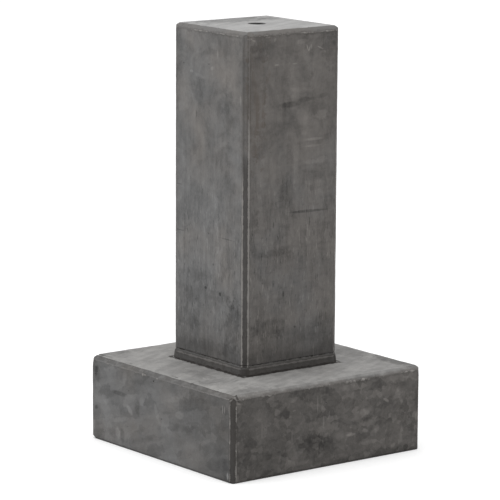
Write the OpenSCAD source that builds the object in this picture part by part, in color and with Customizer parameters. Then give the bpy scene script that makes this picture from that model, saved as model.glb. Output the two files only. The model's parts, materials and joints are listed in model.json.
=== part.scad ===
// Cast concrete pier block: a square foot, a square shaft on it with a low collar
// at the joint, and a blind round socket in the top for a post fixing.
// It is cast in one pour, so it is one solid.
// +Z is up. The origin is the centre of the underside.

/* [Foot] */
// Width of the square foot, side to side
foot_w = 406; // [320:1:600]
// Height of the foot
foot_h = 148; // [80:1:260]
// Chamfer down each upright corner of the foot
foot_corner = 8; // [2:0.5:20]
// Chamfer round the top edge of the foot
foot_top_edge = 8; // [2:0.5:20]
// Easing round the bottom edge of the foot
foot_bottom_edge = 3; // [0.5:0.5:10]

/* [Shaft] */
// Width of the square shaft, side to side
shaft_w = 202; // [120:1:250]
// Height of the shaft above the foot
shaft_h = 577; // [320:1:1400]
// Chamfer down each upright corner of the shaft
shaft_corner = 8; // [2:0.5:20]
// Chamfer round the top edge of the shaft
shaft_top_edge = 8; // [2:0.5:20]

/* [Collar] */
// Height of the collar's upright face above the foot
collar_face_h = 12; // [6:0.5:30]
// Height of the sloping ledge above the collar's face
collar_ledge_h = 4; // [1:0.5:15]
// How far the collar stands out from the shaft, at the foot
collar_out = 3; // [2:0.5:12]
// How much the collar's face leans in, from the foot to its ledge
collar_lean = 1; // [0.5:0.5:1.5]

/* [Socket] */
// Diameter of the socket
socket_d = 25; // [10:0.5:50]
// Depth of the socket's straight wall, from its worn mouth to its floor
socket_wall = 88; // [30:1:250]
// How far the worn mouth spreads beyond the socket, all round
mouth_out = 6.5; // [1:0.5:12]
// Depth of the worn mouth
mouth_h = 2; // [0.5:0.5:8]

/* [Hidden] */
$fn = 96;
concrete = [0.42, 0.41, 0.4];
top_z = foot_h + shaft_h;
// How far the socket's cut runs on above the top face
clear = 1;
// How far the collar's ledge runs on inside the shaft
sink = 0.5;
// How far the collar's round corners swell past its sides, which trim them
swell = 0.3;

// How far a square's cut corner stands from its centre
function corner_reach(w, cut) = (w - cut) / sqrt(2);

// The whole outline, from the half of it to the right of the middle, bottom to top
function both_sides(half) = concat(half, [for (i = [len(half) - 1:-1:0]) [-half[i].x, half[i].y]]);

// An outline in X and Z, drawn out along Y for the given length
module slab(half, length) {
    rotate([90, 0, 0])
        linear_extrude(length, center = true)
            polygon(both_sides(half));
}

// The form that shows one outline on all four sides and another across all four corners
module four_sided(side, corner, length) {
    intersection() {
        slab(side, length);
        rotate([0, 0, 90]) slab(side, length);
        rotate([0, 0, 45]) slab(corner, length);
        rotate([0, 0, -45]) slab(corner, length);
    }
}

module foot() {
    half_w = foot_w / 2;
    reach = corner_reach(foot_w, foot_corner);
    side = [
        [half_w - foot_bottom_edge, 0],
        [half_w, foot_bottom_edge],
        [half_w, foot_h - foot_top_edge],
        [half_w - foot_top_edge, foot_h]
    ];
    four_sided(side, [[reach, 0], [reach, foot_h]], 2 * foot_w);
}

// The shaft runs on down to the middle of the foot, so that the two are one mass
module shaft() {
    half_w = shaft_w / 2;
    root_z = foot_h / 2;
    reach = corner_reach(shaft_w, shaft_corner);
    side = [
        [half_w, root_z],
        [half_w, top_z - shaft_top_edge],
        [half_w - shaft_top_edge, top_z]
    ];
    four_sided(side, [[reach, root_z], [reach, top_z]], 2 * shaft_w);
}

// A square with rounded corners, its sides carried out past its width w by the length arm,
// so that a form which meets it is trimmed at the corners only
module rounded_corners(w, r, arm) {
    square([w + 2 * arm, w - 2 * r], center = true);
    square([w - 2 * r, w + 2 * arm], center = true);
    for (x = [-1, 1], y = [-1, 1])
        translate([x * (w / 2 - r), y * (w / 2 - r)]) circle(r);
}

// The collar leans in a little up its face, then its ledge slopes back into the shaft.
// It stands out as far round the shaft's chamfered corners as along the sides.
module collar() {
    root_z = foot_h / 2;
    ledge_z = foot_h + collar_face_h;
    end_z = ledge_z + collar_ledge_h;
    half_w = shaft_w / 2;
    reach = corner_reach(shaft_w, shaft_corner);
    corner_r = collar_out + (shaft_corner + 2 * swell) / (2 - sqrt(2));
    ledge_out = collar_out - collar_lean;
    side = [
        [half_w + collar_out, root_z],
        [half_w + collar_out, foot_h],
        [half_w + ledge_out, ledge_z],
        [half_w - sink, end_z + sink * collar_ledge_h / ledge_out]
    ];
    corner = [
        [reach + 2 * collar_out, root_z],
        [reach + 2 * collar_out, end_z - 2 * collar_ledge_h],
        [reach - sink, end_z + sink * collar_ledge_h / collar_out]
    ];
    intersection() {
        translate([0, 0, root_z])
            linear_extrude(end_z + collar_ledge_h - root_z)
                rounded_corners(shaft_w + 2 * (collar_out + swell), corner_r, collar_out);
        four_sided(side, corner, 2 * shaft_w);
    }
}

// The socket and its worn mouth, as the shape cut away
module socket() {
    r = socket_d / 2;
    floor_z = top_z - mouth_h - socket_wall;
    rotate_extrude()
        polygon([
            [0, floor_z],
            [r, floor_z],
            [r, top_z - mouth_h],
            [r + mouth_out, top_z],
            [r + mouth_out, top_z + clear],
            [0, top_z + clear]
        ]);
}

module pier_block() {
    color(concrete)
        difference() {
            union() {
                foot();
                shaft();
                collar();
            }
            socket();
        }
}

pier_block();
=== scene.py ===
"""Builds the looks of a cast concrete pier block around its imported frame.

The block is cast in one pour: a square foot, a low collar, a square shaft and a round
socket in the top. Its form is cut from three plain solids and united, then cut into a
fine mesh, struck with chips and pinholes, and worn along its arrises. Its finish is one
concrete material built from shader node groups. Lengths are in metres, +Z is up.
"""

import json
import math
import random
from types import SimpleNamespace

import bmesh
import bpy
import numpy as np
from bpy.props import FloatProperty, FloatVectorProperty, IntProperty, PointerProperty
from mathutils import Matrix, Vector


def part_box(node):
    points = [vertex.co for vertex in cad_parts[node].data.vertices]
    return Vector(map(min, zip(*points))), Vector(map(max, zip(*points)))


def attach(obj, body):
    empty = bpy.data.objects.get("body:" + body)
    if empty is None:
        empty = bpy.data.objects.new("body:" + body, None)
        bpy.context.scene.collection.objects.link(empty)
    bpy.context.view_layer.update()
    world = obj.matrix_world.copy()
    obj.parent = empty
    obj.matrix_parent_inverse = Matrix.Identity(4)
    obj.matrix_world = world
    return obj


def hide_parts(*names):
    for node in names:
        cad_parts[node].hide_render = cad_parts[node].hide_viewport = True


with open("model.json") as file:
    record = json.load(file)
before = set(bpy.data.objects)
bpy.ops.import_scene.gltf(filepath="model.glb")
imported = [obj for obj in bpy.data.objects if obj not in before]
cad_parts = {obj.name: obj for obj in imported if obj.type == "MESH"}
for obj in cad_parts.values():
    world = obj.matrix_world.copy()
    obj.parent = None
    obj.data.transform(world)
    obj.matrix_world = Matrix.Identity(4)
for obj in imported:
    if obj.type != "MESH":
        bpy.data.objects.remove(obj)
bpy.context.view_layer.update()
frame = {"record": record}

bl_info = {
    "name": "Cast Pier Block",
    "version": (1, 0, 0),
    "blender": (4, 5, 0),
    "location": "3D View > Sidebar > Pier Block",
    "description": "Models, wears and finishes a cast concrete pier block",
    "category": "Object",
}

NODE = "pier_block"
MM = 0.001
# How far above the ledge the shaft is pinched in, and by how much
GROOVE_RISE = 0.0016
GROOVE_DEPTH = 0.0012
# Room kept between two strikes, and how rough they are, as a share of their radius
STRIKE_GAP = 0.3 * MM
CHIP_ROUGHNESS = 0.1
NICK_ROUGHNESS = 0.14
# How far wear reaches from an arris, and the float from the foot's top edge
ARRIS_REACH = 5 * MM
FLOAT_REACH = 13 * MM
# Share of the float's dips on all but the left side, which was floated by hand
EVEN_SHARE = 0.2
# Round the socket the top stays flat
SOCKET_ROOM = 0.02
# How far a listed mark reaches into the surface and out of it
MARK_DEPTH = 9 * MM
# How strongly all the listed marks show
MARK_STRENGTH = 1.25
# Steps in a vertex group's weights
WEIGHT_STEPS = 20
# Angles in degrees from which an edge is bevelled, and from which it is shaded sharp
SHARP_EDGE = 20
SHARP_SHADE = 28
FLOOR_RADIUS = 60
# The floor's albedo and glow to the lens
LENS_WHITE = (0.6, 0.6, 0.6, 1)
LENS_GLOW = 0.42
SOCKET = next(m for m in frame["record"]["mounts"] if m["name"] == "post_socket")


# ---------------------------------------------------------------- sizes and colours


def metres(name, description, default):
    """A setting in metres"""
    return FloatProperty(name=name, description=description, default=default, unit="LENGTH")


def degrees(name, description, default):
    """A setting that is an angle, from its default in degrees"""
    return FloatProperty(name=name, description=description, default=math.radians(default), subtype="ANGLE")


def tint(name, description, default):
    """A setting that is a colour"""
    return FloatVectorProperty(
        name=name, description=description, default=default, size=3, subtype="COLOR", min=0, max=1
    )


class PierForm(bpy.types.PropertyGroup):
    """Sizes of the block that its frame's box doesn't give"""

    foot_height: metres("Foot Height", "Height of the square foot", 0.148)
    foot_bottom_edge: metres("Bottom Edge", "Easing round the foot's bottom edge", 0.003)
    shaft_width: metres("Shaft Width", "Width of the square shaft", 0.202)
    chamfer: metres("Chamfer", "Legs of every corner and top edge chamfer", 0.008)
    collar_face: metres("Collar Face", "Height of the collar's upright face", 0.012)
    collar_ledge: metres("Collar Ledge", "Height of the collar's sloping ledge", 0.004)
    collar_out: metres("Collar Out", "How far the collar stands out at the foot", 0.003)
    collar_lean: metres("Collar Lean", "How much the collar's face leans in", 0.001)
    mouth_out: metres("Mouth Out", "How far the socket's worn mouth spreads", 0.0065)
    mouth_depth: metres("Mouth Depth", "Depth of the socket's worn mouth", 0.002)


class PierWear(bpy.types.PropertyGroup):
    """How worn the block is, and how finely it is meshed"""

    fine: metres("Fine Cut", "Mesh spacing along the arrises", 0.0013)
    coarse: metres("Coarse Cut", "Mesh spacing in the middle of a face", 0.0045)
    rounding: metres("Arris Rounding", "Width that wear has taken off each arris", 0.0008)
    nicks: IntProperty(name="Nicks", description="Small chips scattered along the arrises", default=120)
    pinholes: IntProperty(name="Pinholes", description="Air holes scattered over the faces", default=90)
    seed: IntProperty(name="Seed", description="Seed of the scattered nicks and pinholes", default=7)
    arris_wear: metres("Arris Wear", "Deepest rub along an arris", 0.0007)
    tooling: metres("Tooled Edge", "Deepest dip in the hand-floated edge of the foot", 0.004)
    bowing: metres("Bowing", "Deepest hollow in a cast face", 0.0004)


class PierFinish(bpy.types.PropertyGroup):
    """Colours of the concrete, and of the shade and highlights painted on it"""

    concrete: tint("Concrete", "Cement skin as cast", (0.150, 0.149, 0.148))
    warm: tint("Warm Concrete", "Cement skin where it has browned", (0.150, 0.140, 0.131))
    dust: tint("Dust", "Pale dust on what faces up", (0.30, 0.293, 0.283))
    top_dust: tint("Top Dust", "Paler dust on the top of the shaft", (0.355, 0.353, 0.35))
    # Dark colour for soiling, and also for painted shade in the groove, under the collar, along the arrises
    # and in the socket's mouth
    dirt_and_shade: tint("Dirt", "Dark dirt in corners and low down", (0.036, 0.032, 0.029))
    # Painted shade: the socket and its mouth are painted near black, where they lie in shadow
    hollow: tint("Hollow", "Damp black in the socket and its mouth", (0.007, 0.0065, 0.006))
    # Pale colour for bare cement worn on the arrises, and also for painted highlights along them and the
    # ledge's edge
    rubbed_and_highlit: tint("Rubbed", "Bare pale cement on rubbed arrises", (0.30, 0.285, 0.27))
    rust: tint("Stain", "Brown stain near an arris", (0.105, 0.085, 0.070))


class PierStudio(bpy.types.PropertyGroup):
    """Camera and lights"""

    azimuth: degrees("Azimuth", "Camera's turn about the block", -37.77)
    elevation: degrees("Elevation", "Camera's height above level", 10.37)
    roll: degrees("Roll", "Camera's lean about its own axis", 0.33)
    distance: metres("Distance", "Camera's distance from its aim", 5.29)
    lens: FloatProperty(name="Lens", description="Focal length in millimetres", default=223.8)
    aim_side: metres("Aim Side", "How far the aim lies to the right of the axis", -0.0094)
    aim_height: metres("Aim Height", "Height of the aim", 0.3377)
    sky: FloatProperty(name="Sky", description="Strength of the even light all round", default=0.56)
    bounce: FloatProperty(name="Bounce", description="Share of light that the floor throws back", default=0.6)
    overhead: FloatProperty(name="Overhead", description="Strength of the even light from above", default=2.0)
    side: FloatProperty(name="Side", description="Power of the left softbox in watts", default=25.0)


# ---------------------------------------------------------------- modelling helpers


def deselect_everything():
    """Leaves object mode with nothing selected"""
    if bpy.context.object and bpy.context.object.mode != "OBJECT":
        bpy.ops.object.mode_set(mode="OBJECT")
    bpy.ops.object.select_all(action="DESELECT")


def make_active(piece):
    """Selects one object only"""
    deselect_everything()
    piece.select_set(True)
    bpy.context.view_layer.objects.active = piece


def square_bar(name, width, low, high):
    """A square bar on the axis, from a cube"""
    deselect_everything()
    middle = (low + high) / 2
    bpy.ops.mesh.primitive_cube_add(size=1, location=(0, 0, middle), scale=(width, width, high - low))
    piece = bpy.context.object
    piece.name = name
    bpy.ops.object.transform_apply(location=True, rotation=True, scale=True)
    return piece


def select_faces(piece, wanted):
    """In edit mode, selects the faces that wanted(centre, normal) accepts"""
    bpy.ops.mesh.select_mode(type="FACE")
    bpy.ops.mesh.select_all(action="DESELECT")
    bm = bmesh.from_edit_mesh(piece.data)
    for face in bm.faces:
        if not face.hide and wanted(face.calc_center_median(), face.normal):
            face.select_set(True)
    bmesh.update_edit_mesh(piece.data)


def select_edges(piece, wanted):
    """In edit mode, selects the edges that wanted(edge) accepts"""
    bpy.ops.mesh.select_mode(type="EDGE")
    bpy.ops.mesh.select_all(action="DESELECT")
    bm = bmesh.from_edit_mesh(piece.data)
    for edge in bm.edges:
        if wanted(edge):
            edge.select_set(True)
    bmesh.update_edit_mesh(piece.data)


def cut(at, normal, trim=False):
    """Cuts all that shows with a plane, and trims off what lies beyond it if asked"""
    bpy.ops.mesh.select_all(action="SELECT")
    bpy.ops.mesh.bisect(plane_co=at, plane_no=normal, use_fill=trim, clear_outer=trim)


def trim_corners(width, corner, turns=(45,)):
    """Trims a square bar's four corners, at each turn in degrees from a side's normal"""
    for quarter in range(4):
        for turn in turns:
            angle = math.radians(90 * quarter + turn)
            way = Vector((math.cos(angle), math.sin(angle), 0))
            inner = width / 2 - corner
            lean = math.radians(turn)
            reach = inner * (math.cos(lean) + math.sin(lean)) + corner_radius_reach(corner, turns, lean)
            cut(way * reach, way, trim=True)


def corner_radius_reach(corner, turns, lean):
    """How far a corner goes on past its inner point: one straight cut, or the radius of a round one"""
    if len(turns) == 1:
        return corner * math.cos(lean)
    return corner


def raise_top(piece, rise, share):
    """In edit mode, extrudes the top face up and scales it by a share"""
    select_faces(piece, lambda c, n: n.z > 0.9)
    bpy.ops.mesh.extrude_region_move(TRANSFORM_OT_translate={"value": (0, 0, rise)})
    bpy.ops.transform.resize(value=(share, share, 1), center_override=(0, 0, 0))


def soften_arrises(piece, width):
    """Bevels every sharp edge of a convex solid a little, as wear does"""
    sharp = math.radians(SHARP_EDGE)
    select_edges(piece, lambda e: e.is_manifold and e.calc_face_angle(0) > sharp)
    bpy.ops.mesh.bevel(offset=width, offset_type="OFFSET", segments=2, profile=0.5, affect="EDGES")


def apply_modifier(piece, kind, name, **settings):
    """Adds a modifier and applies it"""
    make_active(piece)
    modifier = piece.modifiers.new(name, kind)
    for key, value in settings.items():
        setattr(modifier, key, value)
    bpy.ops.object.modifier_apply(modifier=name)


def combine(piece, tool, operation):
    """Unites a solid with another, or cuts the other out of it, and removes the other"""
    apply_modifier(piece, "BOOLEAN", operation.title(), object=tool, operation=operation, solver="MANIFOLD")
    bpy.data.objects.remove(tool)
    if not piece.data.polygons:
        raise RuntimeError(f"the {operation.lower()} left nothing of {piece.name}")


def graded(low, high, stops, fine, coarse):
    """Places for cuts between low and high, close together near each stop"""
    spread = 0.22
    places = []
    here = low
    while True:
        near = min(abs(here - stop) for stop in stops)
        here += min(coarse, fine + spread * max(0.0, near - 2 * fine))
        if here > high - fine / 2:
            return places
        places.append(here)


# ---------------------------------------------------------------- the block's form


def foot_solid(form, width, rounding):
    """The foot: a bar whose top and bottom edges are drawn in, with trimmed corners"""
    piece = square_bar(NODE, width, form.foot_bottom_edge, form.foot_height - form.chamfer)
    bpy.ops.object.mode_set(mode="EDIT")
    for side, rise, inset in (
        (1, form.chamfer, form.chamfer),
        (-1, form.foot_bottom_edge, form.foot_bottom_edge),
    ):
        select_faces(piece, lambda c, n: n.z * side > 0.9)
        bpy.ops.mesh.extrude_region_move(TRANSFORM_OT_translate={"value": (0, 0, side * rise)})
        share = 1 - 2 * inset / width
        bpy.ops.transform.resize(value=(share, share, 1), center_override=(0, 0, 0))
    trim_corners(width, form.chamfer)
    soften_arrises(piece, rounding)
    return piece


def shaft_solid(form, top, rounding):
    """The shaft: a bar with a drawn-in top edge and trimmed corners, rooted in the foot"""
    width = form.shaft_width
    piece = square_bar("shaft", width, form.foot_height / 2, top - form.chamfer)
    bpy.ops.object.mode_set(mode="EDIT")
    raise_top(piece, form.chamfer, 1 - 2 * form.chamfer / width)
    trim_corners(width, form.chamfer)
    soften_arrises(piece, rounding)
    return piece


def collar_solid(form, rounding):
    """The collar: a bar with round corners whose face leans in and whose ledge slopes back"""
    base = form.foot_height
    width = form.shaft_width + 2 * form.collar_out
    radius = form.collar_out + form.chamfer / (2 - math.sqrt(2))
    piece = square_bar("collar", width, base / 2, base)
    bpy.ops.object.mode_set(mode="EDIT")
    trim_corners(width, radius, turns=(9, 22, 35, 45, 55, 68, 81))
    for rise, draw in (
        (form.collar_face, form.collar_lean),
        (form.collar_ledge, form.collar_out - form.collar_lean),
        (form.collar_ledge / 4, (form.collar_out - form.collar_lean) / 4),
    ):
        raise_top(piece, rise, 1 - 2 * draw / width)
        width -= 2 * draw
    soften_arrises(piece, rounding / 2)
    return piece


def socket_tool(form, top):
    """The shape of the socket and its worn mouth, to cut away"""
    radius = SOCKET["dims"]["r_mm"] * MM
    wall = SOCKET["dims"]["length_mm"] * MM
    deselect_everything()
    bpy.ops.mesh.primitive_cylinder_add(
        vertices=64, radius=radius, depth=wall, location=(0, 0, top - form.mouth_depth - wall / 2)
    )
    piece = bpy.context.object
    piece.name = "socket"
    bpy.ops.object.transform_apply(location=True, rotation=True, scale=True)
    bpy.ops.object.mode_set(mode="EDIT")
    select_faces(piece, lambda c, n: n.z > 0.9)
    # The mouth rolls over in three rings, and a fourth carries it clear of the top.
    width = radius
    for share, rise in ((0.3, 0.55), (0.35, 0.3), (0.35, 0.15), (0.6, 0.3)):
        bpy.ops.mesh.extrude_region_move(TRANSFORM_OT_translate={"value": (0, 0, rise * form.mouth_depth)})
        wider = width + share * form.mouth_out
        bpy.ops.transform.resize(value=(wider / width, wider / width, 1), center_override=(0, 0, 0))
        width = wider
    return piece


def cut_grid(piece, keep, along, heights):
    """Cuts the faces that keep accepts into a grid, by planes across X, Y and Z"""
    make_active(piece)
    bpy.ops.object.mode_set(mode="EDIT")
    bpy.ops.mesh.reveal(select=False)
    select_faces(piece, keep)
    bpy.ops.mesh.hide(unselected=True)
    for place in along:
        cut((place, 0, 0), (1, 0, 0))
        cut((0, place, 0), (0, 1, 0))
    for height in heights:
        cut((0, 0, height), (0, 0, 1))
    bpy.ops.mesh.reveal(select=False)
    bpy.ops.object.mode_set(mode="OBJECT")


def pinch_groove(piece, form):
    """Draws in one ring of the shaft just above the ledge, as the line between two moulds"""
    make_active(piece)
    bpy.ops.object.mode_set(mode="EDIT")
    line = form.foot_height + form.collar_face + form.collar_ledge + GROOVE_RISE
    bpy.ops.mesh.select_mode(type="VERT")
    bpy.ops.mesh.select_all(action="DESELECT")
    bm = bmesh.from_edit_mesh(piece.data)
    nearest = min(abs(v.co.z - line) for v in bm.verts)
    for vertex in bm.verts:
        vertex.select_set(abs(abs(vertex.co.z - line) - nearest) < 1e-5)
    bmesh.update_edit_mesh(piece.data)
    share = 1 - 2 * GROOVE_DEPTH / form.shaft_width
    bpy.ops.transform.resize(value=(share, share, 1), center_override=(0, 0, 0))
    bpy.ops.object.mode_set(mode="OBJECT")


def cast_form(form, wear):
    """The whole casting, straight from the mould, in a graded mesh"""
    low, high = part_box(NODE)
    width = high.x - low.x
    top = high.z
    base = form.foot_height
    piece = foot_solid(form, width, wear.rounding)
    collar = collar_solid(form, wear.rounding)
    shaft = shaft_solid(form, top, wear.rounding)
    combine(collar, shaft, "UNION")
    combine(piece, collar, "UNION")
    combine(piece, socket_tool(form, top), "DIFFERENCE")

    loose = 1.0
    fine = wear.fine * loose
    coarse = wear.coarse * loose
    half = width / 2
    half_shaft = form.shaft_width / 2
    mouth = SOCKET["dims"]["r_mm"] * MM + form.mouth_out
    ledge = base + form.collar_face + form.collar_ledge
    foot_stops = [sign * (half - form.chamfer / 2) for sign in (-1, 1)]
    shaft_stops = [sign * (half_shaft - form.chamfer / 2) for sign in (-1, 1)] + [-mouth * 0.7, mouth * 0.7]
    cut_grid(
        piece,
        lambda c, n: c.z > base + MM / 2,
        graded(-half_shaft, half_shaft, shaft_stops, fine, coarse),
        [ledge + GROOVE_RISE / 2, ledge + GROOVE_RISE, ledge + 0.0026]
        + graded(ledge + 0.003, top, [ledge, top - form.chamfer / 2], fine, coarse),
    )
    cut_grid(
        piece,
        lambda c, n: c.z <= base + MM / 2,
        graded(-half, half, foot_stops, fine, coarse * 1.4),
        graded(0, base, [0, base - form.chamfer / 2], fine, coarse),
    )
    pinch_groove(piece, form)
    return piece


# ---------------------------------------------------------------- wear


def arris_lines(form, width, top):
    """Each arris as (kind, first, second): an upright one by its place out and across, a level
    one by its place out and its height. Out is the larger of X and Y, across the smaller."""
    base = form.foot_height
    c = form.chamfer
    lines = []
    for w, low, high in ((width, 0, base), (form.shaft_width, base, top)):
        lines.append(("upright", w / 2, w / 2 - c, low, high))
        lines.append(("level", w / 2, high - c))
        lines.append(("level", w / 2 - c, high))
    lines.append(("level", width / 2, 0.0))
    return lines


def arris_distance(places, form, width, top):
    """How far each point lies from the nearest arris"""
    flat = np.abs(places[:, :2])
    out, across, height = flat.max(1), flat.min(1), places[:, 2]
    nearest = np.full(len(places), 1.0)
    for line in arris_lines(form, width, top):
        if line[0] == "upright":
            _, a, b, low, high = line
            away = np.hypot(out - a, across - b)
            away[(height < low) | (height > high)] = 1.0
        else:
            _, a, b = line
            away = np.hypot(out - a, height - b)
        nearest = np.minimum(nearest, away)
    return nearest


def paint_group(piece, name, weights):
    """A vertex group from one weight for each vertex"""
    group = piece.vertex_groups.new(name=name)
    levels = np.round(np.clip(weights, 0, 1) * WEIGHT_STEPS).astype(int)
    for level in range(1, WEIGHT_STEPS + 1):
        members = np.nonzero(levels == level)[0].tolist()
        if members:
            group.add(members, level / WEIGHT_STEPS, "REPLACE")


def clouds(name, size, depth=2):
    """A soft cloud texture for a Displace modifier"""
    texture = bpy.data.textures.new(name, "CLOUDS")
    texture.noise_scale = size
    texture.noise_depth = depth
    return texture


def press_in(piece, name, size, depth, group, fine=2):
    """Presses a surface in by up to depth where the clouds are dark, within a vertex group"""
    apply_modifier(
        piece, "DISPLACE", name, texture=clouds(name, size, fine), texture_coords="LOCAL",
        direction="NORMAL", strength=depth, mid_level=1.0, vertex_group=group,
    )


def vertex_places(piece):
    """The places of all the vertices, a row for each"""
    places = np.zeros(len(piece.data.vertices) * 3)
    piece.data.vertices.foreach_get("co", places)
    return places.reshape(-1, 3)


def wear_surfaces(piece, form, wear):
    """Rubs the arrises, floats the foot's edges by hand and bows the cast faces"""
    low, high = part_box(NODE)
    width = high.x - low.x
    places = vertex_places(piece)
    # The underside stays flat.
    off_floor = np.clip(places[:, 2] / (2 * MM), 0, 1)
    away = arris_distance(places, form, width, high.z)
    paint_group(piece, "arrises", np.clip(1 - away / ARRIS_REACH, 0, 1) * off_floor)
    out = np.abs(places[:, :2]).max(1)
    inset = form.chamfer / 2
    rim = np.hypot(out - (width / 2 - inset), places[:, 2] - (form.foot_height - inset))
    by_hand = np.where(places[:, 0] < -width / 2 + 12 * MM, 1.0, EVEN_SHARE)
    paint_group(piece, "floated", np.clip(1.3 - rim / FLOAT_REACH, 0, 1) * by_hand)
    socket_near = np.hypot(places[:, 0], places[:, 1]) < SOCKET_ROOM
    paint_group(piece, "faces", np.where(socket_near, 0.0, off_floor))
    press_in(piece, "bowed_faces", 0.11, wear.bowing, "faces")
    press_in(piece, "uneven_skin", 0.022, wear.bowing / 3, "faces", 3)
    press_in(piece, "floated_edges", 0.032, wear.tooling, "floated", 1)
    press_in(piece, "rubbed_arrises", 0.014, wear.arris_wear, "arrises", 4)
    keep_in_mould(piece, low, high)


def keep_in_mould(piece, low, high):
    """Brings back any point that pressing an undercut wall has pushed out of the mould's box"""
    held = np.clip(vertex_places(piece), low, high)
    piece.data.vertices.foreach_set("co", held.ravel())
    piece.data.update()


class Strikes:
    """Gathers small rocks and bubbles, kept apart, that are cut out of the casting together"""

    def __init__(self, draw):
        self.draw = draw
        self.balls = []
        deselect_everything()
        mesh = bpy.data.meshes.new("strikes")
        self.tool = bpy.data.objects.new("strikes", mesh)
        bpy.context.scene.collection.objects.link(self.tool)
        make_active(self.tool)
        bpy.ops.object.mode_set(mode="EDIT")

    def free(self, centre, radius):
        """Is there room for a ball here, clear of all the others?"""
        return all((centre - c).length > radius + r + STRIKE_GAP for c, r in self.balls)

    def ball(self, at, outward, radius, depth, stretch=(1, 1, 1), rough=0.0, detail=2):
        """A ball that bites depth into the surface at a point, if there is room for it"""
        centre = Vector(at) + Vector(outward).normalized() * (radius - depth)
        reach = radius * max(stretch)
        if not self.free(centre, reach):
            return
        self.balls.append((centre, reach))
        bpy.ops.mesh.primitive_ico_sphere_add(subdivisions=detail, radius=radius, location=centre)
        bpy.ops.transform.resize(value=stretch, center_override=centre)
        if rough:
            bpy.ops.transform.vertex_random(offset=rough * radius, seed=self.draw.randrange(9999))

    def cut_from(self, piece):
        """Cuts all of them out of the casting"""
        bpy.ops.object.mode_set(mode="OBJECT")
        combine(piece, self.tool, "DIFFERENCE")


def chip_places(form, width, top):
    """Listed chips: point, outward, radius and depth in millimetres, stretch"""
    half = width / 2
    hs = form.shaft_width / 2
    base = form.foot_height
    c = form.chamfer
    near = (-1, -1, 0)
    return [
        # the foot's near corner: top, scars down it, and its foot
        ((-half, -half + c, base - c), (-1, -0.4, 0.8), 9, 1.9, (1, 1, 1)),
        ((-half + c, -half, base - 12 * MM), (-0.3, -1, 0.2), 7, 1.3, (0.7, 1, 1.9)),
        ((-half, -half + 14 * MM, base - 30 * MM), (-1, -0.1, 0), 12, 1.0, (0.7, 0.6, 1.5)),
        ((-half + 4 * MM, -half + 4 * MM, 0.078), near, 11, 2.1, (0.7, 0.7, 1.6)),
        ((-half, -half + c, 0.013), (-1, -0.2, 0), 7, 1.7, (0.7, 0.7, 1.7)),
        ((-half + c, -half, 0.009), (-0.2, -1, 0), 6, 1.4, (0.7, 0.7, 1.7)),
        # the foot's left corner: its bottom is broken off, its top is dented
        ((-half, half - 1 * MM, 0.0), (-0.75, 0.3, -1), 15, 7.5, (1, 1.2, 1)),
        ((-half, half - 25 * MM, base - 5 * MM), (-1, 0, 0.7), 10, 2.4, (0.8, 1.5, 0.8)),
        ((-half, 0.068, base - 3 * MM), (-1, 0, 0.9), 8, 2.2, (1, 1.3, 1)),
        # the foot's right corner
        ((half - 1 * MM, -half, 0.002), (0.6, -0.6, -1), 10, 3.4, (1.3, 1, 1)),
        ((half - 3 * MM, -half, 0.062), (0.6, -1, 0), 9, 1.2, (1, 0.8, 1.8)),
        # along the front top edge
        ((-0.11, -half, base - c), (0, -1, 0.6), 9, 1.1, (2.4, 0.8, 0.8)),
        ((-0.065, -half, base - c), (0, -1, 0.7), 8, 1.2, (2.2, 0.8, 0.8)),
        ((0.012, -half, base - c), (0, -1, 0.7), 9, 1.4, (1.6, 0.8, 0.8)),
        ((0.04, -half, base - 14 * MM), (0, -1, 0), 10, 0.9, (0.5, 0.8, 0.9)),
        # the shaft's near top corner and top edges
        ((-hs + 2 * MM, -hs + 5 * MM, top - c), (-1, -0.8, 0.4), 7, 1.6, (1, 1, 0.9)),
        ((-hs + 15 * MM, -hs, top - c), (0, -1, 0.5), 7, 0.9, (1.7, 0.8, 0.7)),
        ((-hs, hs - 2 * MM, top - 3 * MM), (-1, 0.9, 1), 9, 3.2, (1, 1, 1)),
        ((hs, -hs + 2 * MM, top - 3 * MM), (1, -0.9, 1), 8, 2.4, (1, 1, 1)),
        # the collar
        ((-0.02, -hs - form.collar_out, base + 11 * MM), (0, -1, 0.5), 7, 0.8, (2, 0.8, 0.7)),
        ((0.072, -hs - form.collar_out, base + 10 * MM), (0, -1, 0.3), 8, 1.0, (1.5, 0.8, 0.7)),
        ((-hs - form.collar_out, 0.06, base + 11 * MM), (-1, 0, 0.5), 7, 0.9, (0.8, 2, 0.7)),
        # the back, plainer
        ((half - 4 * MM, half - 4 * MM, 0.11), (1, 1, 0), 12, 2.4, (0.8, 0.8, 1.3)),
        ((0.09, half, base - c), (0, 1, 0.7), 9, 1.7, (1.8, 0.9, 0.9)),
        ((half, 0.05, base - c), (1, 0, 0.7), 9, 1.5, (0.9, 1.9, 0.9)),
        ((hs - 4 * MM, hs - 4 * MM, 0.41), (1, 1, 0), 9, 1.9, (0.8, 0.8, 1.6)),
    ]


def scatter_nicks(strikes, form, width, top, count):
    """Small chips anywhere along the arrises"""
    draw = strikes.draw
    lines = arris_lines(form, width, top)
    for _ in range(count):
        line = draw.choice(lines)
        quarter = Matrix.Rotation(math.radians(90 * draw.randrange(4)), 3, "Z")
        flip = draw.choice((-1, 1))
        if line[0] == "upright":
            _, a, b, low, high = line
            point = Vector((a, flip * b, draw.uniform(low + 0.01, high - 0.01)))
            outward = Vector((1, flip * 0.55, draw.uniform(-0.3, 0.3)))
            stretch = (0.8, 0.8, draw.uniform(1.0, 2.6))
        else:
            _, a, b = line
            point = Vector((a, draw.uniform(-a, a) * 0.95, b))
            outward = Vector((1, draw.uniform(-0.3, 0.3), -0.6 if b == 0 else 0.6))
            stretch = (0.8, 0.8, 0.8)
        if b == 0:
            point.z = 1.5 * MM
        radius = draw.uniform(1.6, 5.0) * MM
        depth = radius * draw.uniform(0.16, 0.34)
        strikes.ball(quarter @ point, quarter @ outward, radius, depth, stretch, rough=NICK_ROUGHNESS)


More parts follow.
